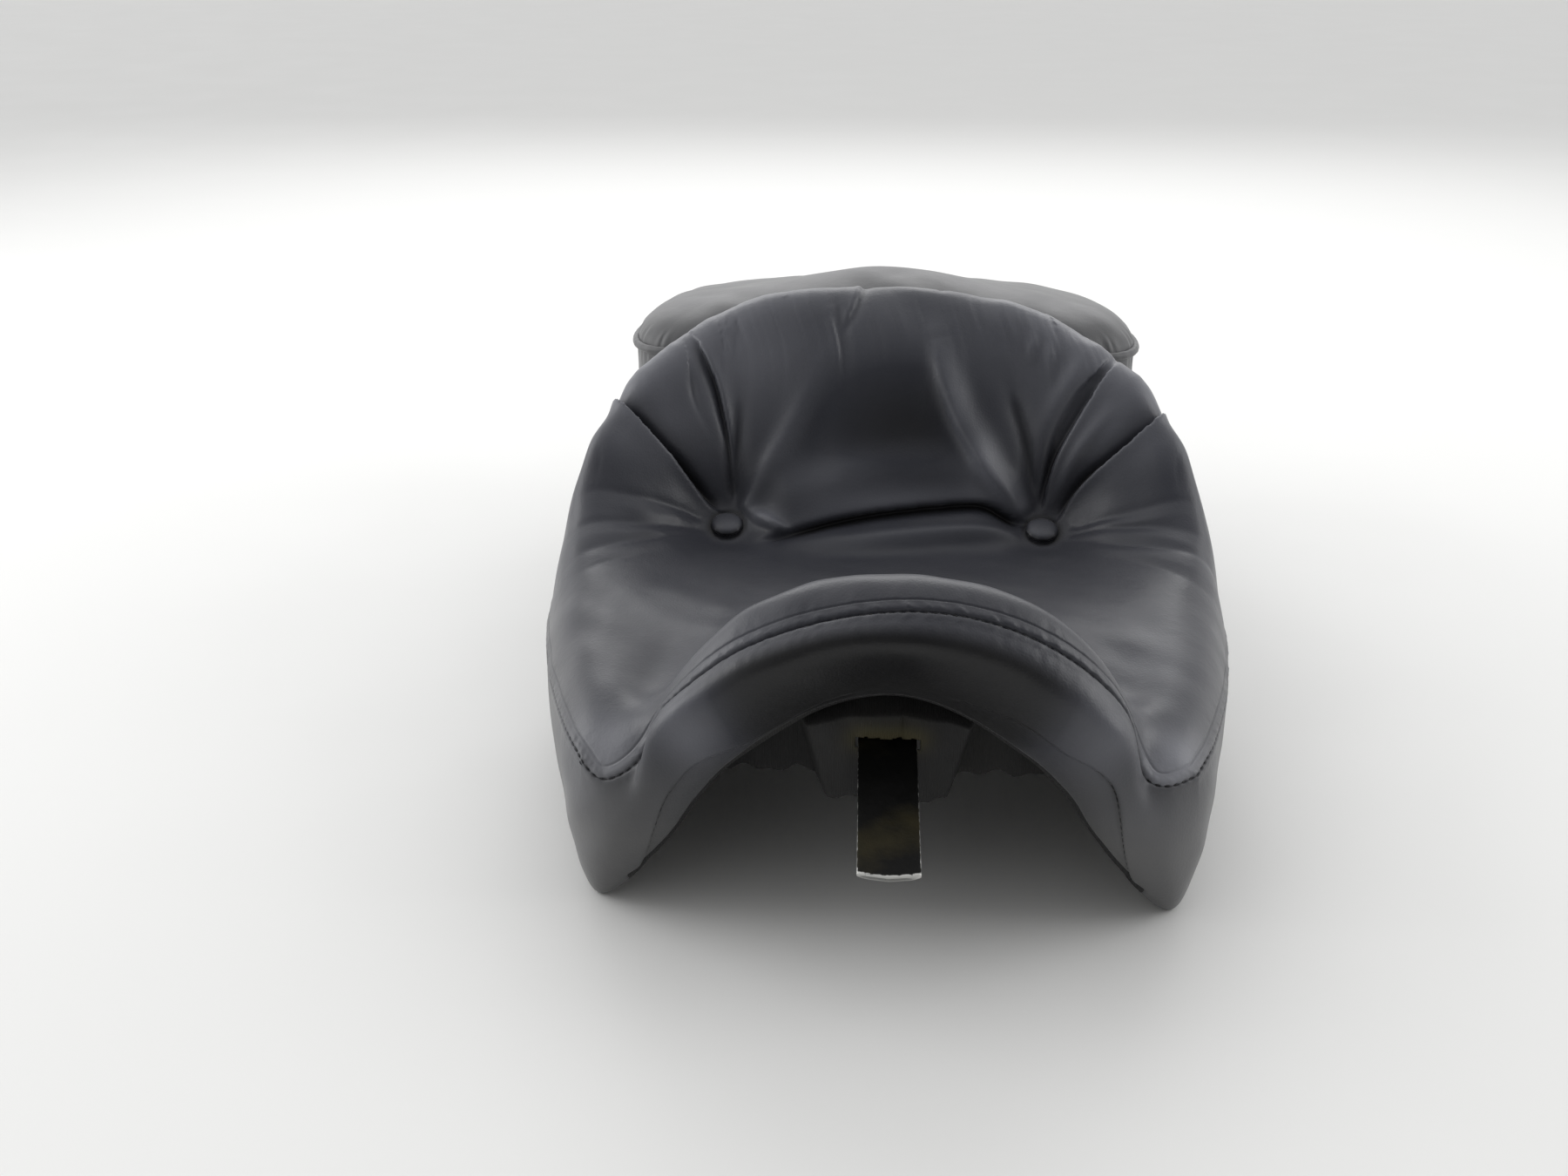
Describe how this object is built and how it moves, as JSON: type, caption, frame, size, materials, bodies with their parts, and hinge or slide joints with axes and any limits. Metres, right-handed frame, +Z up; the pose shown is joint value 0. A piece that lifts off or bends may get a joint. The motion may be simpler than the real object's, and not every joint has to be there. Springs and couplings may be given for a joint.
{
  "type": "motorcycle seat",
  "caption": "Two-up touring motorcycle seat: a tufted bucket for the rider with a high rear bolster, a raised pillion pad behind it, an arched pan, a front tongue and a tail tab.",
  "frame": {"origin": "on the ground line under the middle of the seat, centred across and along its whole length", "axes": "+Y from the nose towards the tail, +Z up, +X to the right of someone looking along +Y"},
  "size_m": [0.4334, 0.7823, 0.2622],
  "materials": {
    "vinyl": "semi-gloss black grained vinyl",
    "lining": "dull black backing cloth",
    "foam": "moulded open-cell foam",
    "pan": "black moulded plastic",
    "painted_steel": "worn black paint",
    "zinc": "dull zinc plate",
    "bumper_rubber": "matt black rubber",
    "twine": "waxed twine"
  },
  "bodies": {
    "root": {"base_pan": "pan", "rider_foam": "foam", "pillion_foam": "foam", "rider_top_cover": "vinyl", "nose_cover": "vinyl", "nose_lining": "lining", "left_side_cover": "vinyl", "right_side_cover": "vinyl", "pillion_top_cover": "vinyl", "pillion_band_cover": "vinyl", "pillion_welt": "vinyl", "left_button": "vinyl", "right_button": "vinyl", "left_button_twine": "twine", "right_button_twine": "twine", "left_button_toggle": "zinc", "right_button_toggle": "zinc", "front_tongue": "painted_steel", "tongue_rivet_1": "zinc", "tongue_rivet_2": "zinc", "tail_tab": "zinc", "left_tail_rivet": "zinc", "right_tail_rivet": "zinc", "left_front_bumper": "bumper_rubber", "right_front_bumper": "bumper_rubber", "left_middle_bumper": "bumper_rubber", "right_middle_bumper": "bumper_rubber", "left_rear_bumper": "bumper_rubber", "right_rear_bumper": "bumper_rubber", "left_staple_1": "zinc", "left_staple_2": "zinc", "left_staple_3": "zinc", "left_staple_4": "zinc", "left_staple_5": "zinc", "right_staple_1": "zinc", "right_staple_2": "zinc", "right_staple_3": "zinc", "right_staple_4": "zinc", "right_staple_5": "zinc"}
  },
  "joints": []
}
